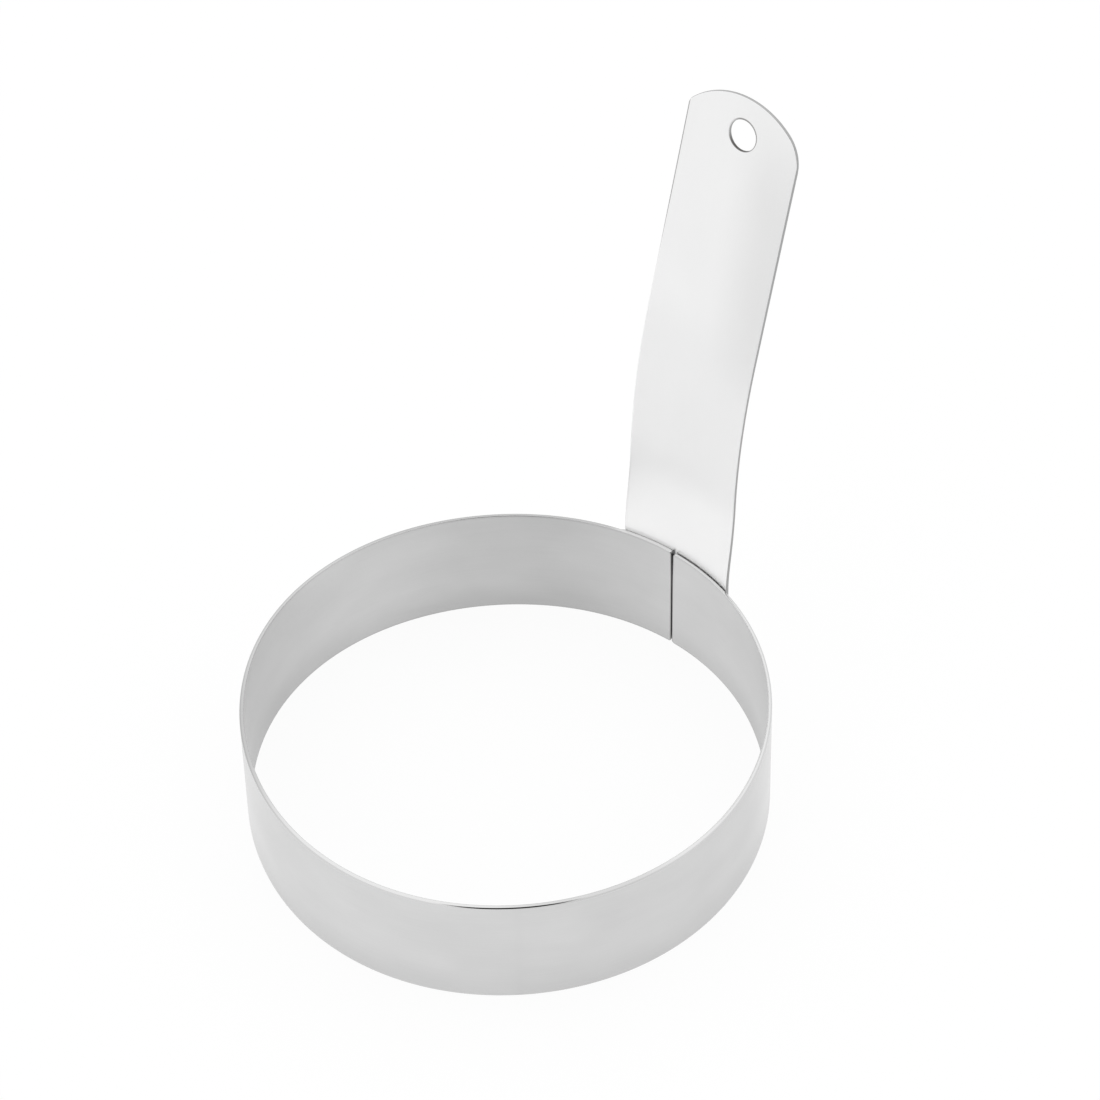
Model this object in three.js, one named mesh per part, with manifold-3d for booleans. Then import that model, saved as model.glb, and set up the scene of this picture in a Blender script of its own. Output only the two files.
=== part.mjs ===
// Egg ring: a strip of sheet steel rolled into a ring, with a strip handle spot-welded over its seam.
// Millimetres, +Z up. The ring stands on the XY plane, and the handle rises from its +Y side.

import * as THREE from 'three';
import { mergeVertices, toCreasedNormals } from 'three/addons/utils/BufferGeometryUtils.js';
import Module from 'manifold-3d';

// The band, a strip rolled into a ring whose ends meet at an open seam.
const ringInnerDiameter = 100;
const bandHeight = 25.4;
const bandThickness = 0.8;
const seamGap = 0.35;
const seamOffset = 1.65; // along the band, from the middle of the handle towards -X
const seamCornerRadius = 0.6;

// The handle, a strip measured along its middle from the bottom edge of the band.
const handleLength = 131.4;
const handleWidth = 26.1;
const handleThickness = 0.8;
const lapGap = 0.2; // between the band and the strip that laps it
const flattenLength = 20; // above the rim the strip's cross curve fades out over this length
const bendRise = 13.4; // from the rim up to the start of the bend
const bendRadius = 155;
const bendDegrees = 15.4;
const tipRise = 6.1; // from the shoulders, before they are rounded, up to the tip
const leftShoulderRadius = 2.2;
const rightShoulderRadius = 7.9;
const holeDiameter = 6.1;
const holeInset = 7.6; // from the tip down to the middle of the hanging hole

// The spot welds, in rows and columns that share out the lap evenly.
const weldRows = ['lower', 'upper'];
const weldColumns = ['left', 'right'];
const weldDiameter = 4;
const weldFloor = 0.35; // sheet left between a weld and the inner face of the band
const weldDimple = 0.1; // how far a weld lies below the back of the handle
const weldClearance = 0.1;

// How finely the round shapes are divided, and how far a cutting tool reaches past the sheet.
const ringSegments = 120;
const weldSegments = 24;
const holeSegments = 32;
const cornerSegments = 6;
const tipSegments = 14;
const stripRows = 36;
const cutMargin = 1;
const creaseAngle = THREE.MathUtils.degToRad(20);

// Sizes that follow from the driving dimensions.
const innerRadius = ringInnerDiameter / 2;
const outerRadius = innerRadius + bandThickness;
const lapRadius = outerRadius + lapGap;
const backRadius = lapRadius + handleThickness;
const bendStart = bandHeight + bendRise;
const bendAngle = THREE.MathUtils.degToRad(bendDegrees);
const bendLength = bendRadius * bendAngle;

const wasm = await Module();
wasm.setup();

// Turns a closed geometry into a solid that can be cut.
function solidOf(geometry) {
  const shell = geometry.clone();
  shell.deleteAttribute('normal');
  shell.deleteAttribute('uv');
  const merged = mergeVertices(shell);
  const vertProperties = merged.getAttribute('position').array;
  const triVerts = Uint32Array.from(merged.getIndex().array);
  return new wasm.Manifold(new wasm.Mesh({ numProp: 3, vertProperties, triVerts }));
}

// Turns a solid back into a geometry, smooth over its curves and sharp at its edges.
function geometryOf(solid) {
  const { vertProperties, triVerts } = solid.getMesh();
  const geometry = new THREE.BufferGeometry();
  geometry.setAttribute('position', new THREE.BufferAttribute(vertProperties, 3));
  geometry.setIndex(new THREE.BufferAttribute(triVerts, 1));
  return toCreasedNormals(geometry, creaseAngle);
}

// A cylinder along +Y, between two distances from the middle of the ring.
function radialCylinder(diameter, from, to, segments) {
  const cylinder = new THREE.CylinderGeometry(diameter / 2, diameter / 2, to - from, segments);
  return cylinder.translate(0, (from + to) / 2, 0);
}

// The middles of the spot welds: each turns away from the handle's middle and stands above the floor.
function weldPlaces() {
  const places = [];
  weldColumns.forEach((side, column) => {
    const across = ((column + 0.5) / weldColumns.length - 0.5) * handleWidth;
    weldRows.forEach((level, row) => {
      const height = ((row + 0.5) / weldRows.length) * bandHeight;
      places.push({ name: `spot_weld_${side}_${level}`, turn: -across / lapRadius, height });
    });
  });
  return places;
}

// The recesses that the welds fill, through the handle and part of the way into the band.
function weldRecesses() {
  const bore = weldDiameter + 2 * weldClearance;
  return weldPlaces().map(({ turn, height }) => {
    const recess = radialCylinder(bore, innerRadius + weldFloor, backRadius + cutMargin, weldSegments);
    return solidOf(recess.rotateZ(turn).translate(0, 0, height));
  });
}

// The slot between the two ends of the band, flared at the top and bottom by their rounded corners.
function seamSlot() {
  const half = seamGap / 2;
  const flare = half + seamCornerRadius;
  const upper = bandHeight - seamCornerRadius;
  const quarter = Math.PI / 2;
  const outline = new THREE.Shape();
  outline.moveTo(-flare, -cutMargin);
  outline.lineTo(flare, -cutMargin);
  outline.absarc(flare, seamCornerRadius, seamCornerRadius, -quarter, -2 * quarter, true);
  outline.absarc(flare, upper, seamCornerRadius, 2 * quarter, quarter, true);
  outline.lineTo(flare, bandHeight + cutMargin);
  outline.lineTo(-flare, bandHeight + cutMargin);
  outline.absarc(-flare, upper, seamCornerRadius, quarter, 0, true);
  outline.absarc(-flare, seamCornerRadius, seamCornerRadius, 0, -quarter, true);
  outline.closePath();
  const depth = bandThickness + 2 * cutMargin;
  const slot = new THREE.ExtrudeGeometry(outline, { depth, bevelEnabled: false, curveSegments: cornerSegments });
  slot.rotateX(quarter).translate(0, outerRadius + cutMargin, 0);
  return solidOf(slot.rotateZ(seamOffset / outerRadius));
}

// The rolled band: a full ring, parted at the seam and recessed for the welds.
function bandGeometry() {
  const section = [
    new THREE.Vector2(innerRadius, 0),
    new THREE.Vector2(outerRadius, 0),
    new THREE.Vector2(outerRadius, bandHeight),
    new THREE.Vector2(innerRadius, bandHeight),
    new THREE.Vector2(innerRadius, 0),
  ];
  const ring = new THREE.LatheGeometry(section, ringSegments).rotateX(Math.PI / 2);
  let band = solidOf(ring).subtract(seamSlot());
  weldRecesses().forEach((recess) => {
    band = band.subtract(recess);
  });
  return geometryOf(band);
}

// How far the strip has turned outwards at a distance along it.
function stripTurn(along) {
  return THREE.MathUtils.clamp((along - bendStart) / bendRadius, 0, bendAngle);
}

// Where a point of the flat strip goes when the strip is formed. The lap keeps the band's curve across
// its width, the curve fades out above the rim, and the whole strip leans outwards through one bend.
function formStrip(across, along, depth) {
  const turn = stripTurn(along);
  const straight = Math.max(along - bendStart - bendLength, 0);
  const middleY = lapRadius + bendRadius * (1 - Math.cos(turn)) + straight * Math.sin(bendAngle);
  const middleZ = Math.min(along, bendStart) + bendRadius * Math.sin(turn) + straight * Math.cos(bendAngle);
  const flattened = THREE.MathUtils.smoothstep(along, bandHeight, bandHeight + flattenLength);
  const curve = (1 - flattened) / lapRadius;
  const swing = across * curve;
  const sideways = curve > 0 ? Math.sin(swing) / curve : across;
  const inwards = curve > 0 ? (1 - Math.cos(swing)) / curve : 0;
  const outwards = depth * Math.cos(swing) - inwards;
  return new THREE.Vector3(
    sideways + depth * Math.sin(swing),
    middleY + outwards * Math.cos(turn),
    middleZ - outwards * Math.sin(turn),
  );
}

// The top edge of the flat strip from left to right: a shoulder arc, the tip's arc and a shoulder arc.
function tipOutline() {
  const half = handleWidth / 2;
  const tipRadius = (half ** 2 + tipRise ** 2) / (2 * tipRise);
  const tipMiddle = handleLength - tipRadius;
  const arc = (x, y, radius, from, to, count) => (
    new THREE.EllipseCurve(x, y, radius, radius, from, to, true).getPoints(count)
  );
  const shoulder = (side, radius) => {
    const x = side * (half - radius);
    const climb = Math.sqrt((tipRadius - radius) ** 2 - x ** 2);
    return { x, y: tipMiddle + climb, turn: Math.atan2(climb, x) };
  };
  const left = shoulder(-1, leftShoulderRadius);
  const right = shoulder(1, rightShoulderRadius);
  const rising = arc(left.x, left.y, leftShoulderRadius, Math.PI, left.turn, cornerSegments);
  const middle = arc(0, tipMiddle, tipRadius, left.turn, right.turn, tipSegments);
  const falling = arc(right.x, right.y, rightShoulderRadius, right.turn, 0, cornerSegments);
  return [...rising, ...middle.slice(1, -1), ...falling];
}

// The flat strip, formed: its columns spread evenly at the bottom and end on the outline of the tip.
function stripGeometry() {
  const tip = tipOutline();
  const columns = tip.length - 1;
  const strip = new THREE.BoxGeometry(1, 1, 1, columns, stripRows, 1);
  const points = strip.getAttribute('position');
  for (let i = 0; i < points.count; i += 1) {
    const end = tip[Math.round((points.getX(i) + 0.5) * columns)];
    const climb = points.getY(i) + 0.5;
    const across = THREE.MathUtils.lerp(points.getX(i) * handleWidth, end.x, climb);
    const depth = (0.5 - points.getZ(i)) * handleThickness;
    const formed = formStrip(across, end.y * climb, depth);
    points.setXYZ(i, formed.x, formed.y, formed.z);
  }
  return strip;
}

// The hanging hole, square to the strip where it is punched.
function hangingHole() {
  const along = handleLength - holeInset;
  const length = handleThickness + 2 * cutMargin;
  const punch = new THREE.CylinderGeometry(holeDiameter / 2, holeDiameter / 2, length, holeSegments);
  const middle = formStrip(0, along, handleThickness / 2);
  return solidOf(punch.rotateX(-stripTurn(along)).translate(middle.x, middle.y, middle.z));
}

// The formed strip with its hanging hole and the recesses for the welds.
function handleGeometry() {
  let handle = solidOf(stripGeometry()).subtract(hangingHole());
  weldRecesses().forEach((recess) => {
    handle = handle.subtract(recess);
  });
  return geometryOf(handle);
}

// A named piece of satin steel.
function steelPiece(name, geometry, color, roughness) {
  const piece = new THREE.Mesh(geometry, new THREE.MeshStandardMaterial({ color, roughness, metalness: 1 }));
  piece.name = name;
  return piece;
}

// One weld, from the floor of its recess in the band to the dimple in the back of the handle.
function weldPiece({ name, turn, height }) {
  const from = innerRadius + weldFloor + weldClearance;
  const nugget = radialCylinder(weldDiameter, from, backRadius - weldDimple, weldSegments);
  const weld = steelPiece(name, nugget, 0xb4aea6, 0.5);
  weld.rotation.z = turn;
  weld.position.z = height;
  return weld;
}

const ringCentred = new THREE.Group();
ringCentred.add(steelPiece('ring_band', bandGeometry(), 0xd4d5d6, 0.32));
ringCentred.add(steelPiece('handle', handleGeometry(), 0xdcddde, 0.36));
weldPlaces().forEach((place) => ringCentred.add(weldPiece(place)));

// The origin is on the floor, in the middle of the box that holds the ring and its leaning handle.
const handleReach = formStrip(0, handleLength, handleThickness).y;
ringCentred.position.y = (outerRadius - handleReach) / 2;

const eggRing = new THREE.Group();
eggRing.name = 'egg_ring';
eggRing.add(ringCentred);

export default eggRing;
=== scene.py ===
# %% [markdown]
# # An egg ring in satin steel
#
# A cook stands this ring on a hot plate, breaks an egg into it, and lifts it off by its upright handle.
# The real object is two strips of sheet steel and four spot welds: one strip is rolled into the ring, and
# the other laps the outside of the ring over its seam and rises as the handle. A construction model already
# fixes every size, so it is loaded first and never changed. The lesson then remakes each strip the way a
# press shop does, flat first and formed afterwards, and gives it the finish that a camera sees.

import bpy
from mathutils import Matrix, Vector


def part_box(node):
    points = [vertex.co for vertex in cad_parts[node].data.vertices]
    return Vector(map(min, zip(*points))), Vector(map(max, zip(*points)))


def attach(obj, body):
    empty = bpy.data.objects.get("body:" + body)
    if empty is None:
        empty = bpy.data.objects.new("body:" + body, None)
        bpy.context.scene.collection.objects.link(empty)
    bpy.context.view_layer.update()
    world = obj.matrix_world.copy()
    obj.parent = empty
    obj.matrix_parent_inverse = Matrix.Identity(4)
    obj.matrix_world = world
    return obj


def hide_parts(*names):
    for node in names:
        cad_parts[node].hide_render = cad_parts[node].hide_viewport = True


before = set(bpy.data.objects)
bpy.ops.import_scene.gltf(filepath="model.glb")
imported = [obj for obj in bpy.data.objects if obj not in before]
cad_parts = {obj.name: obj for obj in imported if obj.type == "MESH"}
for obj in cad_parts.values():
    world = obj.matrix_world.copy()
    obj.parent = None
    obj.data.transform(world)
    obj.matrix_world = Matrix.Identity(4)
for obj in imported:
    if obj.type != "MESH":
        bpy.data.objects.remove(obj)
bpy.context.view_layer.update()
print("The construction model holds", sorted(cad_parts))

# %% Bring in the modules and a unit
from collections import namedtuple
from math import atan2, cos, pi, radians, sin, sqrt

import bmesh
import bpy
from mathutils import Matrix, Quaternion, Vector

mm = 0.001
scene = bpy.context.scene
print("A strip is drawn flat in millimetres, and one of them is", mm, "metres in the scene")

# %% [markdown]
# ## The camera
#
# The photograph looks down on the ring from the front and right with a long lens, so its sides hardly
# converge. The angles, the distance and the lens were worked out from the two rims, which are circles of a
# known size and so fix where the camera stood. A camera could also be set by eye, but a fitted one lets every
# later difference be blamed on the shape or the finish.

# %% Stand the camera
ring_low, ring_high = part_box("ring_band")
ring_middle = Vector(((ring_low.x + ring_high.x) / 2, (ring_low.y + ring_high.y) / 2, 0))
camera_azimuth = radians(43.54)
camera_elevation = radians(48.69)
camera_distance = 899.16 * mm
camera_aim = Vector((-16.92, 21.9, 30.51)) * mm
camera_roll = radians(-1.51)
camera_lens = 151.757
camera_sensor = 36


def towards(azimuth, elevation):
    """The direction from the ring to a place at these angles. Azimuth 0 is in front, and 90 to the right."""
    return Vector((sin(azimuth) * cos(elevation), -cos(azimuth) * cos(elevation), sin(elevation)))


camera = bpy.data.objects.new("camera", bpy.data.cameras.new("camera"))
camera.data.sensor_width = camera_sensor
camera.data.lens = camera_lens
camera.location = ring_middle + towards(camera_azimuth, camera_elevation) * camera_distance
sight_line = (camera_aim - camera.location).to_track_quat("-Z", "Y")
camera.rotation_euler = (sight_line @ Quaternion((0, 0, 1), camera_roll)).to_euler()
scene.collection.objects.link(camera)
scene.camera = camera
print("The camera stands at", [round(value / mm) for value in camera.location], "mm")

# %% [markdown]
# ## Shader maths in plain Python
#
# A steel finish is a handful of sums: a grain, plus some cloudiness, less a little where the edge is worn.
# Those sums could be wired by hand as Math nodes, but they read better as Python. This small class wraps one
# socket, so that adding or multiplying two wrapped sockets adds the Math node for it. Every other node comes
# from its one method `add`.


# %% Wrap a socket
class Wire:
    """One output of a node tree, which takes part in Python arithmetic."""

    def __init__(self, tree, socket=None):
        self.tree = tree
        self.socket = socket

    def add(self, kind, settings=None, sockets=None, output=0):
        """A new node with its settings and then its sockets filled in, and a wire from one of its outputs."""
        node = self.tree.nodes.new(kind)
        for name, value in (settings or {}).items():
            setattr(node, name, value)
        for name, value in (sockets or {}).items():
            if isinstance(value, Wire):
                self.tree.links.new(value.socket, node.inputs[name])
            else:
                node.inputs[name].default_value = value
        return Wire(self.tree, node.outputs[output] if node.outputs else None)

    def maths(self, operation, *others):
        """A Math node on this value and the others, in that order."""
        return self.add("ShaderNodeMath", {"operation": operation}, dict(enumerate((self, *others))))

    def __add__(self, other):
        return self.maths("ADD", other)

    def __sub__(self, other):
        return self.maths("SUBTRACT", other)

    def __rsub__(self, other):
        return self * -1.0 + other

    def __mul__(self, other):
        return self.maths("MULTIPLY", other)

    __radd__ = __add__
    __rmul__ = __mul__

    def fades(self, start, end):
        """1 where this value is at or below start, easing to 0 where it reaches end."""
        reach = {"Value": self, "From Min": start, "From Max": end, "To Min": 1.0, "To Max": 0.0}
        return self.add("ShaderNodeMapRange", {"interpolation_type": "SMOOTHSTEP"}, reach)

    def blend(self, low, high):
        """The colour between low and high, where this value is 0 and 1."""
        return self.add("ShaderNodeMix", {"data_type": "RGBA"}, {0: self, 6: low, 7: high}, output=2)


def new_finish(name):
    """An empty material, and the wire that its nodes are added through."""
    finish = bpy.data.materials.new(name)
    finish.use_nodes = True
    finish.node_tree.nodes.clear()
    return finish, Wire(finish.node_tree)


def grey(level):
    """A colour without a tint."""
    return (level, level, level, 1)


print("Wires are ready, with", [name for name in vars(Wire) if not name.startswith("_")])

# %% [markdown]
# ## Satin sheet steel
#
# Cold-rolled sheet carries a very fine grain along the length of the strip, and soft clouds where the rolls
# pressed a little harder. Its cut edges differ from its faces: the band's rubbed rims are smoother and carry
# painted highlights, and the handle's sheared edge is grey, spread into a dark line of painted shade. A
# picture of steel could be wrapped on, but a procedural finish stays sharp at any distance. It reads
# `strip_place`, which each piece stores while it is still flat: millimetres along the strip, across it and
# through it. So the grain follows the strip round the ring and up the handle, as it does on the real one.

# %% Draw out a noise into grain and clouds
grain_stretch = (0.08, 5.0, 5.0)
grain_detail = 3.0
cloud_stretch = (0.05, 0.09, 0.09)
cloud_detail = 2.0


def stretched_noise(spot, stretch, detail):
    """A noise that varies about 0, drawn out along the strip."""
    stretched = spot.add("ShaderNodeVectorMath", {"operation": "MULTIPLY"}, {0: spot, 1: stretch})
    return spot.add("ShaderNodeTexNoise", {}, {"Vector": stretched, "Scale": 1.0, "Detail": detail}) - 0.5


print("A streak of the grain is about", 1 / grain_stretch[0], "mm long and", 1 / grain_stretch[1], "mm wide")

# %% Mix the satin steel
middle_tone = 0.5
grain_share = 0.16
cloud_share = 0.4
# The crevice tone is painted shade, laid into narrow gaps.
crevice_shade_tone = (0.1, 0.095, 0.09, 1)
edge_core = 0.25
matt_roughness = 0.12
cloud_roughness = 0.06
grain_roughness = 0.05
grain_strength = 0.15
grain_depth = 0.004 * mm
StripPlace = namedtuple("StripPlace", "along across through")
Edge = namedtuple("Edge", "tone roughness reach distance")
SheetLook = namedtuple("SheetLook", "pale dull roughness cloud texture metal crevice edge")


def satin_steel(name, look):
    """Sheet steel with its grain along the strip. Apart from two colours and a roughness, its look is made
    of functions of the place on the strip: painted broad light and dark, texture, bright metal, painted shade
    in gaps, and edges."""
    finish, wire = new_finish(name)
    spot = wire.add("ShaderNodeAttribute", {"attribute_name": "strip_place"}, output="Vector")
    place = StripPlace(*(spot.add("ShaderNodeSeparateXYZ", {}, {"Vector": spot}, axis) for axis in "XYZ"))
    grain = stretched_noise(spot, grain_stretch, grain_detail)
    clouds = stretched_noise(spot, cloud_stretch, cloud_detail)
    edge = look.edge
    cut = edge.distance(place).fades(edge.reach * edge_core, edge.reach)
    texture = (grain * grain_share + clouds * cloud_share) * look.texture(place)
    tone = middle_tone + texture + look.cloud(place)
    bare = cut.blend(tone.blend(look.dull, look.pale), edge.tone(place))
    # Narrow gaps are painted with shade here.
    colour = look.crevice(place).blend(bare, crevice_shade_tone)
    metal = look.metal(place)
    uneven = (1 - metal) * matt_roughness + clouds * cloud_roughness + grain * grain_roughness
    rough = look.roughness + uneven + cut * (edge.roughness - look.roughness)
    relief = {"Strength": grain_strength, "Distance": grain_depth, "Height": grain}
    bump = wire.add("ShaderNodeBump", {}, relief)
    sockets = {"Base Color": colour, "Roughness": rough, "Metallic": metal, "Normal": bump}
    shader = wire.add("ShaderNodeBsdfPrincipled", {}, sockets)
    wire.add("ShaderNodeOutputMaterial", {}, {"Surface": shader})
    print(name, "has", len(finish.node_tree.nodes), "nodes")
    return finish


print("The look of a sheet is made of", ", ".join(SheetLook._fields))

# %% [markdown]
# ## The band
#
# The ring starts as a strip as long as its outside is round. Its corners are rounded, it gets its thickness,
# and a drum deburrs its edges before three rolls bend it into a circle. A spun profile would close the ring
# without a seam and leave it perfectly round, so the strip is made flat as a grid and then rolled, vertex by
# vertex, as the rolls do it. That lets the work show: the ring is a few tenths of a millimetre out of round,
# the seam slants and opens a little towards the top, the right end springs inwards, and the welder has
# pressed the rolled edge of the left end out square under the handle.

# %% Draw the flat band
sheet = 0.8
band_outer = (ring_high.x - ring_low.x) / 2 / mm
band_inner = band_outer - sheet
band_height = ring_high.z / mm
seam_gap = 0.35
seam_corner = 0.6
band_length = 2 * pi * band_outer - seam_gap
grid_pitch = 0.8
corner_segments = 5


def flat_strip(length, width, pitch, centre):
    """A bmesh of one flat grid, with its length along X, its width along Y and squares of about the pitch."""
    bm = bmesh.new()
    placed = Matrix.Translation(centre) @ Matrix.Diagonal((length / 2, width / 2, 1, 1))
    columns = round(length / pitch)
    rows = round(width / pitch)
    bmesh.ops.create_grid(bm, x_segments=columns, y_segments=rows, size=1, matrix=placed)
    return bm


def round_corners(bm, corners, radius):
    """Rounds these corner vertices of a flat sheet."""
    bend = {"segments": corner_segments, "profile": 0.5, "affect": "VERTICES", "material": -1}
    bmesh.ops.bevel(bm, geom=corners, offset=radius, **bend)


band = flat_strip(band_length, band_height, grid_pitch, (0, band_height / 2, 0))
round_corners(band, [vert for vert in band.verts if len(vert.link_edges) == 2], seam_corner)
print("The flat band is", round(band_length, 1), "mm long, with", len(band.faces), "faces")

# %% Give a flat sheet its thickness and round its edges
burr_radius = 0.1
burr_segments = 2
roll_segments = 4
sharp_angle = radians(60)


def thicken_and_round(bm, roll_radius):
    """Raises a flat sheet to its thickness, rounds its cut edges and stores each flat place. The punch rolls
    the edge of the outer face over by the roll radius, and the inner face keeps a small broken burr."""
    raised = bmesh.ops.extrude_face_region(bm, geom=bm.faces[:])["geom"]
    moved = [item for item in raised if isinstance(item, bmesh.types.BMVert)]
    bmesh.ops.translate(bm, vec=(0, 0, sheet), verts=moved)
    bmesh.ops.recalc_face_normals(bm, faces=bm.faces)
    sharp = [edge for edge in bm.edges if edge.calc_face_angle(0) > sharp_angle]
    inner = [edge for edge in sharp if max(vert.co.z for vert in edge.verts) < sheet / 2]
    outer = [edge for edge in sharp if min(vert.co.z for vert in edge.verts) > sheet / 2]
    round_edges = {"profile": 0.5, "affect": "EDGES", "material": -1}
    bmesh.ops.bevel(bm, geom=inner, offset=burr_radius, segments=burr_segments, **round_edges)
    outer = [edge for edge in outer if edge.is_valid]
    bmesh.ops.bevel(bm, geom=outer, offset=roll_radius, segments=roll_segments, **round_edges)
    strip_place = bm.verts.layers.float_vector.new("strip_place")
    for vert in bm.verts:
        vert[strip_place] = vert.co
    return len(inner) + len(outer)


band_roll = 0.45
band_edges = thicken_and_round(band, band_roll)
print("Rounded", band_edges, "edges of the band")

# %% Let the ring out of round
Lobe = namedtuple("Lobe", "count height crest")
out_of_round = (Lobe(2, 0.1, radians(13)), Lobe(3, 0.23, radians(43)), Lobe(4, 0.21, radians(4)))


def bulge(around):
    """How far the rolled strip stands outside a true circle, at an angle round it from the front."""
    return sum(lobe.height * cos(lobe.count * (around - lobe.crest)) for lobe in out_of_round)


widest = max(bulge(radians(degrees)) for degrees in range(360))
print("The ring stands up to", round(widest, 2), "mm outside a true circle")

# %% Roll the band
seam_offset = 1.65
seam_flare = 0.09
seam_flare_from = 17
seam_slant = 0.2
spring_reach = 40
right_spring = -0.05
clamp_start = 11
clamp_end = 12


def eased(value, start, end):
    """0 before start and 1 after end, with a smooth change between them."""
    share = min(max((value - start) / (end - start), 0), 1)
    return share * share * (3 - 2 * share)


def clamped(flat):
    """The left end as the welder leaves it: its rolled edge is pressed out square under the handle."""
    rise = flat.y - (band_height - band_roll)
    reach = flat.z - (sheet - band_roll)
    if min(rise, reach) <= 0:
        return flat
    square = band_roll / max(rise, reach)
    push = (square - 1) * eased(-flat.x, band_length / 2 - clamp_end, band_length / 2 - clamp_start)
    return flat + Vector((0, rise, reach)) * push


def rolled(flat):
    """Where a place on the flat band goes when the strip is rolled, in metres."""
    flat = clamped(flat)
    half = band_length / 2
    trimmed = 1 - seam_flare * eased(flat.y, seam_flare_from, band_height) / half
    along = flat.x * trimmed + seam_offset + seam_slant * (0.5 - flat.y / band_height)
    around = along / band_outer
    spring = right_spring * eased(flat.x, half - spring_reach, half)
    radius = band_inner + flat.z + bulge(around) + spring
    return ring_middle + Vector((sin(around) * radius, -cos(around) * radius, flat.y)) * mm


def form(bm, bend):
    """Moves every vertex of a flat piece to where the bend takes it."""
    for vert in bm.verts:
        vert.co = bend(vert.co)
    bmesh.ops.recalc_face_normals(bm, faces=bm.faces)


form(band, rolled)
print("The rolled band reaches x =", round(max(vert.co.x for vert in band.verts) / mm, 2), "mm")

# %% [markdown]
# ## The band's finish
#
# The inner face of the band is painted darker than the outer one, as shade inside the ring, and slow waves of
# painted light and dark run along both. Both are painted darker near the lower edge, as shade. The rims carry
# a painted highlight at the front and the right, a weaker one on the left and painted shade behind. All this
# could be painted on an unwrapped map. Sums of soft steps and waves along the strip do the same, and each
# keeps a name and a size.

# %% Find a place on the band
inner_skin = 0.02


def inner_face(place):
    """1 on the inner face of a strip and 0 on its outer face."""
    return place.through.fades(inner_skin, burr_radius)


def from_rim(place):
    """The distance to the nearer rim of the band."""
    return place.across.maths("MINIMUM", band_height - place.across)


def from_end(place):
    """The distance to the nearer end of the band."""
    return band_length / 2 - place.along.maths("ABSOLUTE")


def beside(place, middle, reach):
    """1 at a place along the strip, fading out on both sides of it."""
    return (place.along - middle).maths("ABSOLUTE").fades(*reach)


print("Along the band, 0 lies in front, and the two ends at", round(band_length / 2, 1), "mm either way")

# %% Paint highlights and shade onto the rims
# The rim tones are painted light: highlights at the front, the right and less on the left, shade elsewhere,
# and a reflection under the handle.
rim_highlight = grey(0.64)
rim_shade = grey(0.445)
rim_lap_reflection = grey(0.57)
highlight_from = (-35.0, -5.0)
highlight_to = (135.0, 160.0)
left_highlight_middle = -72.0
left_highlight_reach = (12.0, 32.0)
left_highlight_share = 0.35
shaded_stretch_middle = 51.0
shaded_stretch_reach = (8.0, 22.0)
shaded_stretch_share = 0.45
lap_reach = (11.5, 15.0)


def rim_painted_light(place):
    """A painted highlight from the front round to the right, apart from one stretch of painted shade, a
    weaker highlight on the left and painted shade behind, with a painted reflection of its own under the
    handle."""
    front = (1 - place.along.fades(*highlight_from)) * place.along.fades(*highlight_to)
    left = beside(place, left_highlight_middle, left_highlight_reach) * left_highlight_share
    shaded_stretch = beside(place, shaded_stretch_middle, shaded_stretch_reach) * shaded_stretch_share
    lap = from_end(place).fades(*lap_reach)
    return lap.blend((front + left - shaded_stretch).blend(rim_shade, rim_highlight), rim_lap_reflection)


def rubbed_distance(place):
    """The distance to the nearer rim, counted as far on the inner face, which the drum doesn't reach."""
    return from_rim(place) + inner_face(place)


# The rubbed rims are smoother, and they carry the painted light of the rim tones.
rubbed_rim_and_highlight = Edge(tone=rim_painted_light, roughness=0.08, reach=0.6, distance=rubbed_distance)
print("The drum has rubbed the band over", rubbed_rim_and_highlight.reach, "mm from each rim")

# %% Paint light and shade onto the faces of the band
# These shares paint light and shade onto the band: shade inside the ring and near the foot, waves of
# reflection, a sheen and highlights on the flanks.
outer_lift = 0.14
outer_foot_shade = -0.15
inner_shade_drop = -0.16
inner_foot_shade = -0.22
foot_height = 9.0
rim_line_drop = -0.2
rim_line_reach = (0.1, 0.6)
LightWave = namedtuple("LightWave", "crest length share")
reflection_ripple = LightWave(crest=-90, length=82, share=0.17)
reflection_swell = LightWave(crest=140, length=band_length, share=0.12)
sheen = LightWave(crest=0, length=160, share=0.06)
flank_highlight_middles = (-42.0, 116.0)
flank_highlight_reach = (0.0, 28.0)
flank_highlight_share = 0.4


def light_along(place, wave):
    """A slow wave of light and dark along the band."""
    return ((place.along - wave.crest) * (2 * pi / wave.length)).maths("COSINE") * wave.share


def band_painted_light(place):
    """The inner face is painted darker, as shade inside the ring, with a ripple and a swell of painted
    reflection and a darker line along each rim. The outer face is paler, with a painted sheen and painted
    highlights on its two flanks. Both are painted darker near the foot, as shade."""
    foot = place.across.fades(0.0, foot_height)
    dark_line = from_rim(place).fades(*rim_line_reach) * rim_line_drop
    inner = light_along(place, reflection_ripple) + light_along(place, reflection_swell) + inner_shade_drop + foot * inner_foot_shade + dark_line
    flank_highlights = sum(beside(place, middle, flank_highlight_reach) for middle in flank_highlight_middles) * flank_highlight_share
    outer = light_along(place, sheen) + flank_highlights + outer_lift + foot * outer_foot_shade
    inside = inner_face(place)
    return inside * inner + (1 - inside) * outer


print("The ripple has", round(band_length / reflection_ripple.length, 1), "crests round the inside of the band")

# %% Hang the finish on the band
band_pale = grey(0.79)
band_dull = grey(0.495)
band_roughness = 0.32
end_reach = (0.1, 0.3)
end_shade = 0.5


def all_over(place):
    """The full share of something at every place."""
    return 1.0


def band_crevice_shade(place):
    """Painted shade on the two cut ends, which face each other across the seam."""
    return from_end(place).fades(*end_reach) * end_shade


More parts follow.
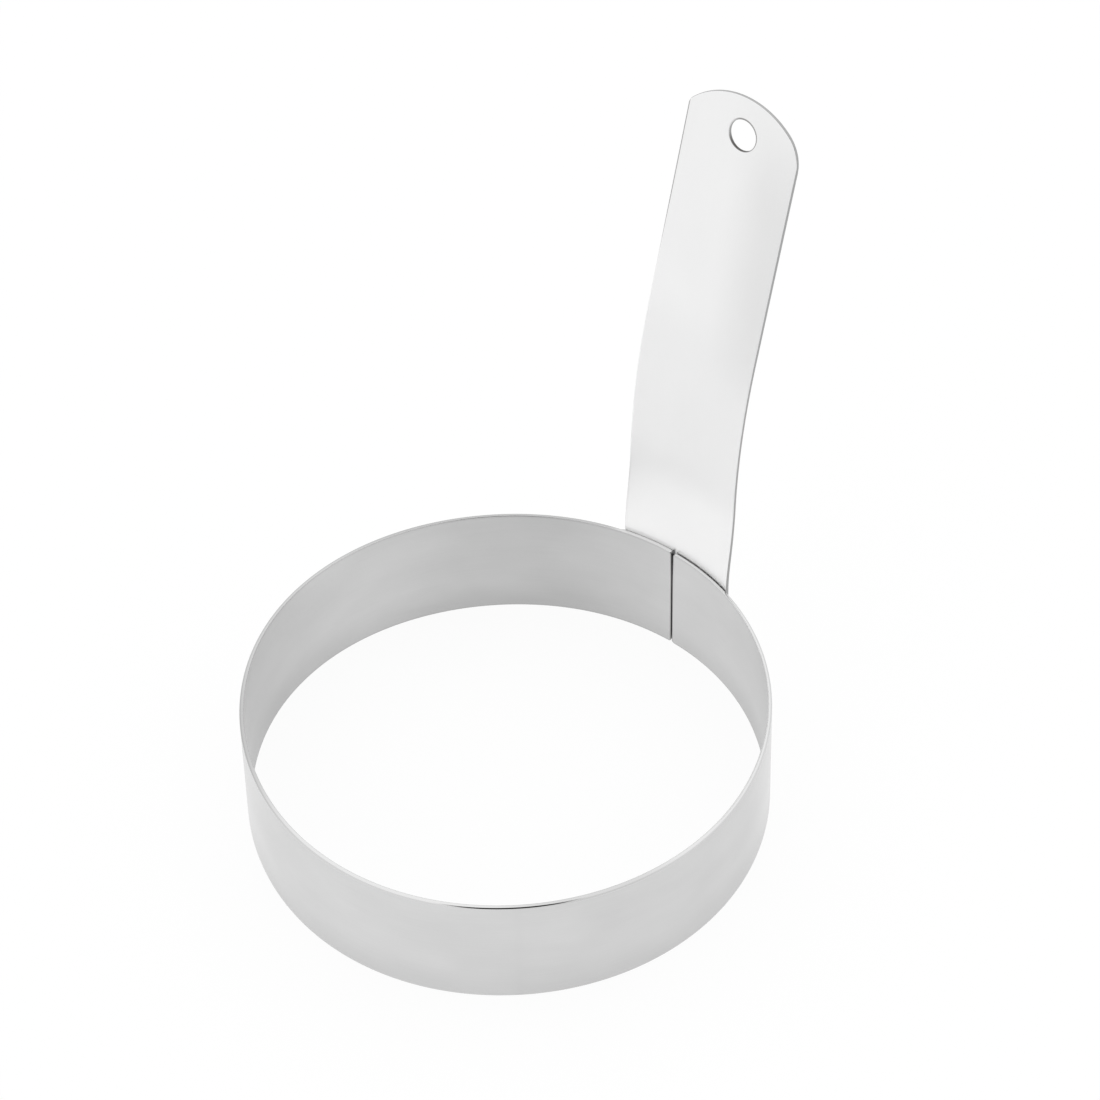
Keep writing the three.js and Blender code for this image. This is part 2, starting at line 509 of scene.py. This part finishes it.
def shown_piece(bm, name, finish, node):
    """Turns a formed bmesh into a piece that stands for a node of the construction model."""
    mesh = bpy.data.meshes.new(name)
    bm.to_mesh(mesh)
    bm.free()
    mesh.shade_smooth()
    mesh.materials.append(finish)
    piece = bpy.data.objects.new(name, mesh)
    scene.collection.objects.link(piece)
    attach(piece, "root")
    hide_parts(node)
    print(name, "has", len(mesh.polygons), "faces")
    return piece


band_look = SheetLook(
    pale=band_pale, dull=band_dull, roughness=band_roughness, cloud=band_painted_light, texture=all_over,
    metal=all_over, crevice=band_crevice_shade, edge=rubbed_rim_and_highlight)
band_steel = satin_steel("band_steel", band_look)
shown_piece(band, "rolled_band", band_steel, "ring_band")

# %% [markdown]
# ## The handle
#
# The handle is a second strip. A press blanks it with a round tip and a hanging hole. A former curves its lap
# to the band, flattens it above the rim and leans it outwards through one wide bend, and the spot welder then
# presses four shallow dimples into its back. A boolean could cut the tip and the hole out of a plate, but it
# leaves ragged edges that bevel badly. So the tip is drawn as its edge would be scribed: two side lines, a
# small arc on each shoulder, the right one wider than the left, and one large arc between them. The arcs are
# spun from single vertices and bridged to the hole, so that every cut edge is one clean loop. The dimples are
# inset from patches of the grid.

# %% Draw the flat handle as far as its tip
handle_length = 131.4
handle_width = 26.1
tip_length = 18.4
tip_rise = 6.1
left_shoulder_radius = 2.2
right_shoulder_radius = 7.9
foot_corner = 0.4
handle_pitch = 0.5
straight_length = handle_length - tip_length

handle = flat_strip(straight_length, handle_width, handle_pitch, (straight_length / 2, 0, 0))
feet = [vert for vert in handle.verts if len(vert.link_edges) == 2 and vert.co.x < tip_length]
tops = [vert for vert in handle.verts if len(vert.link_edges) == 2 and vert.co.x > tip_length]
left_top, right_top = sorted(tops, key=lambda vert: vert.co.y)
round_corners(handle, feet, foot_corner)
print("The straight part is", straight_length, "mm long, with", len(handle.faces), "faces")

# %% Scribe the outline of the tip
half_width = handle_width / 2
tip_radius = (half_width ** 2 + tip_rise ** 2) / (2 * tip_rise)
tip_middle = Vector((handle_length - tip_radius, 0, 0))
shoulder_steps = 12
tip_steps = 44
row_tolerance = 0.01


def shoulder(side, radius):
    """The middle of the arc that rounds one shoulder, and the angle at which it runs into the tip's arc."""
    across = side * (half_width - radius)
    climb = sqrt((tip_radius - radius) ** 2 - across ** 2)
    return tip_middle + Vector((climb, across, 0)), atan2(climb, across)


def scribe_arc(bm, start, centre, angle, steps):
    """An arc of the outline, spun from its first vertex. Returns its last one."""
    arc = bmesh.ops.spin(bm, geom=[start], cent=centre, axis=(0, 0, 1), angle=angle, steps=steps)
    return next(item for item in arc["geom_last"] if isinstance(item, bmesh.types.BMVert))


left_middle, left_turn = shoulder(-1, left_shoulder_radius)
right_middle, right_turn = shoulder(1, right_shoulder_radius)
left_end = handle.verts.new((left_middle.x, -half_width, 0))
tip_left = scribe_arc(handle, left_end, left_middle, pi - left_turn, shoulder_steps)
tip_right = scribe_arc(handle, tip_left, tip_middle, left_turn - right_turn, tip_steps)
right_end = scribe_arc(handle, tip_right, right_middle, right_turn, shoulder_steps)
sides = [handle.edges.new(pair) for pair in ((left_top, left_end), (right_end, right_top))]
for side in sides:
    side_cuts = round(side.calc_length() / handle_pitch) - 1
    bmesh.ops.subdivide_edges(handle, edges=[side], cuts=side_cuts)


def on_outline(edge):
    """Whether an edge goes round the tip: it has no face yet, or it is in the top row of the grid."""
    return not edge.link_faces or all(abs(vert.co.x - straight_length) < row_tolerance for vert in edge.verts)


outline = [edge for edge in handle.edges if on_outline(edge)]
print("The tip's arc has a radius of", round(tip_radius, 2), "mm, and its outline", len(outline), "edges")

# %% Punch the hanging hole
hole_radius = 3.05
hole_inset = 7.6
edge_support = 0.45
hole_middle = Vector((handle_length - hole_inset, 0, 0))
hole_place = Matrix.Translation(hole_middle)
circle = bmesh.ops.create_circle(handle, radius=hole_radius, segments=len(outline), matrix=hole_place)
hole = list({edge for vert in circle["verts"] for edge in vert.link_edges})
tip = bmesh.ops.bridge_loops(handle, edges=outline + hole)["faces"]
bmesh.ops.inset_region(handle, faces=tip, thickness=edge_support, use_boundary=True, use_even_offset=True)
print("The tip has", len(tip), "faces between its outline and the hole")

# %% Scribe the four dimples
weld_rows = (0.25, 0.75)
weld_columns = (-0.25, 0.25)
weld_alongs = [band_height * share for share in weld_rows]
weld_acrosses = [handle_width * share for share in weld_columns]
weld_places = [Vector((along, across, 0)) for across in weld_acrosses for along in weld_alongs]
patch_half = 3.3
lip_outer = 2.7
lip_radius = 2.35
dimple_rim = 2.15
dimple_floor = 1.75
inset_step = 0.05
dimple_rings = (lip_outer, lip_radius, dimple_rim, (dimple_rim + dimple_floor) / 2, dimple_floor)


def scribe_dimple(bm, centre):
    """Joins a square patch of the grid and insets it, ring by ring, round the middle of a weld."""
    patch = []
    for face in bm.faces:
        middle = face.calc_center_median() - centre
        if max(abs(middle.x), abs(middle.y)) < patch_half:
            patch.append(face)
    bottom = bmesh.ops.dissolve_faces(bm, faces=patch)["region"]
    for radius in dimple_rings:
        bmesh.ops.inset_region(bm, faces=bottom, thickness=inset_step)
        for vert in bottom[0].verts:
            vert.co = centre + (vert.co - centre).normalized() * radius
    return len(bottom[0].verts)


for weld_place in weld_places:
    segments = scribe_dimple(handle, weld_place)
    print("A dimple of", segments, "segments lies at", [round(value, 2) for value in weld_place.xy], "mm")

# %% Press in the dimples
dimple_depth = 0.1
lip_height = 0.02


def dimple(flat):
    """How far a place on the back of the lap is pressed in by the welds."""
    near = min((Vector((flat.x, flat.y, 0)) - middle).length for middle in weld_places)
    lip = lip_height * (1 - eased(abs(near - lip_radius), 0, lip_outer - lip_radius))
    return dimple_depth * (1 - eased(near, dimple_floor, dimple_rim)) - lip


print("The middle of a weld is pressed in by", dimple(weld_places[0]), "mm")

# %% Form the handle
lap_gap = 0.06
stand_off = 0.45
flatten_length = 20
bend_rise = 13.4
bend_radius = 155
bend_angle = radians(15.4)
bend_start = band_height + bend_rise
bend_length = bend_radius * bend_angle
lap_radius = band_outer + stand_off


def formed(flat):
    """Where a place on the flat handle goes when the strip is formed, in metres. The lap follows the band's
    own curve, out of round as it is, and the strip above the rim stands a little further out."""
    along, across, depth = flat
    if depth > sheet - lip_height:
        depth -= dimple(flat)
    turn = min(max((along - bend_start) / bend_radius, 0), bend_angle)
    straight = max(along - bend_start - bend_length, 0)
    back = lap_radius + bend_radius * (1 - cos(turn)) + straight * sin(bend_angle)
    height = min(along, bend_start) + bend_radius * sin(turn) + straight * cos(bend_angle)
    curved = 1 - eased(along, band_height, band_height + flatten_length)
    curve = curved / lap_radius
    swing = across * curve
    depth += curved * (lap_gap + bulge(pi - swing) - stand_off)
    sideways = sin(swing) / curve if curve else across
    inwards = (1 - cos(swing)) / curve if curve else 0
    outwards = depth * cos(swing) - inwards
    place = (sideways + depth * sin(swing), back + outwards * cos(turn), height - outwards * sin(turn))
    return ring_middle + Vector(place) * mm


handle_roll = 0.35
handle_edges = thicken_and_round(handle, handle_roll)
form(handle, formed)
handle_top = max(vert.co.z for vert in handle.verts) / mm
print("Rounded", handle_edges, "edges of the handle, which rises to", round(handle_top, 2), "mm")

# %% [markdown]
# ## The handle's finish
#
# The front of the handle is polished, so it mirrors the white paper and looks very pale. Its lower half is
# painted paler still, a painted light, and the bend is made matt and pale, another painted light. A streak of
# painted shade runs up its right side, and its back is satin grey like the band. The sheared edge is grey,
# and painted shade widens it into a thin dark line round the handle, which shows its shape against white
# paper.
# Another strip of dark faces could draw that line. Here the finish measures the distance to the outline
# instead, which draws the line wider or thinner, as the real one is, without another face.

# %% Measure to the sheared edge
SideLine = namedtuple("SideLine", "share thinning below")
right_line = SideLine(share=0.5, thinning=0.05, below=(60.0, 110.0))
left_line = SideLine(share=0.4, thinning=0.2, below=(70.0, 110.0))
tip_line_share = 0.7
# The sheared grey is the cut wall's own grey, and also painted shade where the line spreads over the face.
sheared_and_shade_grey = grey(0.42)


def length_of(one, other):
    """The length of a step with these two sides."""
    return (one * one + other * other).maths("SQRT")


def to_side(place, distance, line):
    """The distance to one side, scaled down to widen its dark line of painted shade, which is thinner on the
    lower handle.
    """
    return distance * line.share + place.along.fades(*line.below) * line.thinning


def sheared_distance(place):
    """The distance to the cut wall, whose places lie between the sheet's two faces, or to its outline."""
    wall = (place.through - sheet / 2).maths("ABSOLUTE") - (sheet / 2 - burr_radius)
    right = to_side(place, half_width - place.across, right_line)
    left = to_side(place, place.across + half_width - burr_radius, left_line)
    climb = (place.along - tip_middle.x).maths("MAXIMUM", 0.0)
    top = (tip_radius - length_of(climb, place.across)) * tip_line_share
    return wall.maths("MINIMUM", right).maths("MINIMUM", left).maths("MINIMUM", top)


def sheared_and_shade_tone(place):
    """The grey of the sheared wall, the same all round, which also paints the shade beside the cut edge."""
    return sheared_and_shade_grey


sheared_edge_and_shade = Edge(tone=sheared_and_shade_tone, roughness=0.45, reach=0.1, distance=sheared_distance)
print("The sheared edge draws a line", sheared_edge_and_shade.reach / right_line.share, "mm wide up the right side")

# %% Paint light and shade onto the faces of the handle
# The lower lift is painted light, and the streak is painted shade.
upper_lift = 0.29
lower_painted_light = 0.21
lower_light_reach = (45.0, 100.0)
back_drop = -0.15
shade_streak_share = -0.2
streak_from = (64.0, 90.0)
streak_to = (110.0, 137.0)
streak_side = (1.0, 13.0)
streak_foot = 62.0
streak_slope = 0.06
front_polish = 0.8


def handle_tone_and_painted_light(place):
    """The front has a paler lower half, a painted light, and a darker streak of painted shade up the right
    side that widens above the bend. The back is duller."""
    lower = place.along.fades(*lower_light_reach)
    right = 1 - (place.across + (place.along - streak_foot) * streak_slope).fades(*streak_side)
    shade_streak = right * (1 - place.along.fades(*streak_from)) * place.along.fades(*streak_to)
    front = upper_lift + lower * lower_painted_light + shade_streak * shade_streak_share
    return back_drop + inner_face(place) * (front - back_drop)


def handle_texture(place):
    """The full grain on the back, and little of it on the polished front."""
    return 1 - inner_face(place) * front_polish


print("The streak starts", streak_from[0], "mm along the handle and fades out from", streak_to[0], "mm")

# %% Make the bend matt and pale, and paint shade into the narrow gaps
# A matt front at the bend takes the pale base colour, and so paints light there.
matt_light_from = (41.0, 52.0)
matt_light_to = (74.0, 90.0)
front_dull = 0.04
bend_matt_light = 0.9
# These constants paint shade behind the band's right end, on the lower wall of the hanging hole and in a ring
# round it.
lap_shade = 0.7
lap_shade_full = 1.2
lap_shade_end = 0.8
seam_side = (-2.6, -2.0)
hole_shade_shift = 0.12
hole_reach = (0.1, 0.35)
upper_wall_shade = 0.02
lower_wall = (-3.0, 0.0)
hole_burr_shade = 0.75
hole_left_side = (-3.0, -1.0)
hole_left_shade_drop = 0.5


def handle_metal(place):
    """Bright sheet, but matt on its front at the bend, where the pale matt patch is a painted light."""
    bend = (1 - place.along.fades(*matt_light_from)) * place.along.fades(*matt_light_to)
    return 1 - inner_face(place) * (front_dull + bend * bend_matt_light)


def from_hole(place):
    """The distance to the wall of the hanging hole, from a middle shifted a little towards the tip, so that
    the painted shade round the hole is wider there.
    """
    return length_of(place.along - hole_middle.x - hole_shade_shift, place.across) - hole_radius


def handle_crevice_shade(place):
    """Painted shade on the face behind the right end of the band, which stands off it, on the lower half of
    the hole's wall, and less of it on a ring round the hole, which is fainter on the left."""
    inside = inner_face(place)
    behind = place.along.fades(band_height - lap_shade_full, band_height - lap_shade_end) * inside
    lap = behind * (1 - place.across.fades(*seam_side))
    lower = (place.along - hole_middle.x).fades(*lower_wall)
    wall = upper_wall_shade + lower * (1 - upper_wall_shade)
    dark_line = inside * (hole_burr_shade - place.across.fades(*hole_left_side) * hole_left_shade_drop)
    return lap * lap_shade + from_hole(place).fades(*hole_reach) * wall.maths("MAXIMUM", dark_line)


print("The front is dull between", matt_light_from[0], "and", matt_light_to[1], "mm along the handle")

# %% Hang the finish on the handle
handle_pale = grey(1)
handle_dull = grey(0.5)
handle_roughness = 0.31

handle_look = SheetLook(
    pale=handle_pale, dull=handle_dull, roughness=handle_roughness, cloud=handle_tone_and_painted_light,
    texture=handle_texture, metal=handle_metal, crevice=handle_crevice_shade, edge=sheared_edge_and_shade)
handle_steel = satin_steel("handle_steel", handle_look)
shown_piece(handle, "formed_handle", handle_steel, "handle")

# %% [markdown]
# ## The spot welds
#
# A spot welder squeezes the two strips between copper tips and melts a small nugget of steel between them.
# From outside only the print of the tip shows: a dull disc with a faint ridge and a straw tint, lying at the
# bottom of its dimple. The prints could be painted on the handle, but then they would have no edge to catch
# the light. So each nugget is a filled circle, extruded up through the strips and inset for its ridge.

# %% Make the weld finish
weld_straw = (0.46, 0.4, 0.31, 1)
weld_bare = (0.62, 0.59, 0.54, 1)
blotch_scale = 500.0
blotch_detail = 2.0
pit_scale = 2500.0
pit_detail = 3.0
pit_strength = 0.4
pit_depth = 0.01 * mm
weld_roughness = 0.38
pit_roughness = 0.2


def weld_metal(name):
    """Dull, finely pitted steel with blotches of a straw heat tint."""
    finish, wire = new_finish(name)
    place = wire.add("ShaderNodeTexCoord", {}, {}, output="Object")
    pits = wire.add("ShaderNodeTexNoise", {}, {"Vector": place, "Scale": pit_scale, "Detail": pit_detail})
    blotches = {"Vector": place, "Scale": blotch_scale, "Detail": blotch_detail}
    colour = wire.add("ShaderNodeTexNoise", {}, blotches).blend(weld_straw, weld_bare)
    bump = wire.add("ShaderNodeBump", {}, {"Strength": pit_strength, "Distance": pit_depth, "Height": pits})
    rough = weld_roughness + pits * pit_roughness
    sockets = {"Base Color": colour, "Roughness": rough, "Metallic": 1.0, "Normal": bump}
    shader = wire.add("ShaderNodeBsdfPrincipled", {}, sockets)
    wire.add("ShaderNodeOutputMaterial", {}, {"Surface": shader})
    return finish


weld_steel = weld_metal("weld_steel")
print("weld_steel has", len(weld_steel.node_tree.nodes), "nodes")

# %% Press in the four welds
print_radius = 1.7
print_segments = 48
print_proud = 0.03
print_edge = 0.12
nugget_depth = 1.2
ridge_inset = 0.45
ridge_width = 0.2
ridge_height = 0.02
Step = namedtuple("Step", "inset lift")
edge_step = Step(print_edge, print_proud / 2)
flat_step = Step(ridge_inset, 0)
ridge_steps = (Step(ridge_width / 2, ridge_height), Step(ridge_width / 2, -ridge_height))


def weld_nugget(centre):
    """One nugget, drawn flat at its place on the lap."""
    bm = bmesh.new()
    top = sheet - dimple_depth + print_proud
    placed = Matrix.Translation(centre + Vector((0, 0, top - nugget_depth)))
    bmesh.ops.create_circle(bm, cap_ends=True, radius=print_radius, segments=print_segments, matrix=placed)
    raised = bmesh.ops.extrude_face_region(bm, geom=bm.faces[:])["geom"]
    moved = [item for item in raised if isinstance(item, bmesh.types.BMVert)]
    bmesh.ops.translate(bm, vec=(0, 0, nugget_depth), verts=moved)
    bmesh.ops.recalc_face_normals(bm, faces=bm.faces)
    print_face = [max(bm.faces, key=lambda face: face.calc_center_median().z)]
    for step in (edge_step, flat_step, *ridge_steps):
        bmesh.ops.inset_region(bm, faces=print_face, thickness=step.inset, depth=step.lift)
    return bm


weld_names = [f"{side}_{level}" for side in ("left", "right") for level in ("lower", "upper")]
for weld_name, weld_place in zip(weld_names, weld_places):
    nugget = weld_nugget(weld_place)
    form(nugget, formed)
    shown_piece(nugget, f"weld_print_{weld_name}", weld_steel, f"spot_weld_{weld_name}")

# %% [markdown]
# ## The studio
#
# The ring was photographed in a white studio. White paper lies under it, and soft light comes from pale walls
# and a brighter ceiling. The only dark things that the steel can mirror are the camera and its stand. Lamps
# could be hung one by one, but steel shows nothing but its surroundings. So one world, pale all round and
# dark in that one place, sets most of what is seen.

# %% Lay the floor
floor_size = 6
floor_white = grey(0.95)
camera_glow = 0.93
mirror_glow = 0.8


def floor_paper(name):
    """White paper, which looks a little brighter to the eye and in reflections than it lights things."""
    finish, wire = new_finish(name)
    seen = wire.add("ShaderNodeLightPath", output="Is Camera Ray") * camera_glow
    for ray in ("Is Glossy Ray", "Is Transmission Ray"):
        seen = seen.maths("MAXIMUM", wire.add("ShaderNodeLightPath", output=ray) * mirror_glow)
    matt = wire.add("ShaderNodeBsdfDiffuse", {}, {"Color": floor_white})
    glow = wire.add("ShaderNodeEmission", {}, {"Color": grey(1), "Strength": 1.0})
    paper = wire.add("ShaderNodeMixShader", {}, {0: seen, 1: matt, 2: glow})
    wire.add("ShaderNodeOutputMaterial", {}, {"Surface": paper})
    return finish


floor_bm = bmesh.new()
bmesh.ops.create_grid(floor_bm, x_segments=1, y_segments=1, size=floor_size / 2)
floor_mesh = bpy.data.meshes.new("floor")
floor_bm.to_mesh(floor_mesh)
floor_bm.free()
floor_mesh.materials.append(floor_paper("floor_paper"))
floor = bpy.data.objects.new("floor", floor_mesh)
scene.collection.objects.link(floor)
print("The floor is", floor_size, "m wide")

# %% Light the studio
ceiling_tone = grey(1.27)
wall_tone = grey(1.05)
wall_top = radians(17.5)
ceiling_edge = radians(44.4)
lens_tone = grey(0.03)
lens_inner = radians(16)
lens_outer = radians(22)
stand_elevation = radians(20)
lens_way = towards(camera_azimuth, camera_elevation)
stand_way = towards(camera_azimuth, stand_elevation)

world = bpy.data.worlds.new("studio")
world.use_nodes = True
world.node_tree.nodes.clear()
sky = Wire(world.node_tree)
way = sky.add("ShaderNodeTexCoord", output="Generated")


def facing(direction):
    """How far the sky at each place faces a direction, from -1 to 1."""
    return way.add("ShaderNodeVectorMath", {"operation": "DOT_PRODUCT"}, {0: way, 1: direction}, "Value")


nearest = facing(lens_way).maths("MAXIMUM", facing(stand_way))
in_lens = 1 - nearest.fades(cos(lens_outer), cos(lens_inner))
on_wall = facing((0, 0, 1)).fades(sin(wall_top), sin(ceiling_edge))
colour = in_lens.blend(on_wall.blend(ceiling_tone, wall_tone), lens_tone)
background = sky.add("ShaderNodeBackground", {}, {"Color": colour, "Strength": 1.0})
sky.add("ShaderNodeOutputWorld", {}, {"Surface": background})
scene.world = world
scene.view_settings.view_transform = "Standard"
print("The studio is lit by", len(world.node_tree.nodes), "nodes")

# %% [markdown]
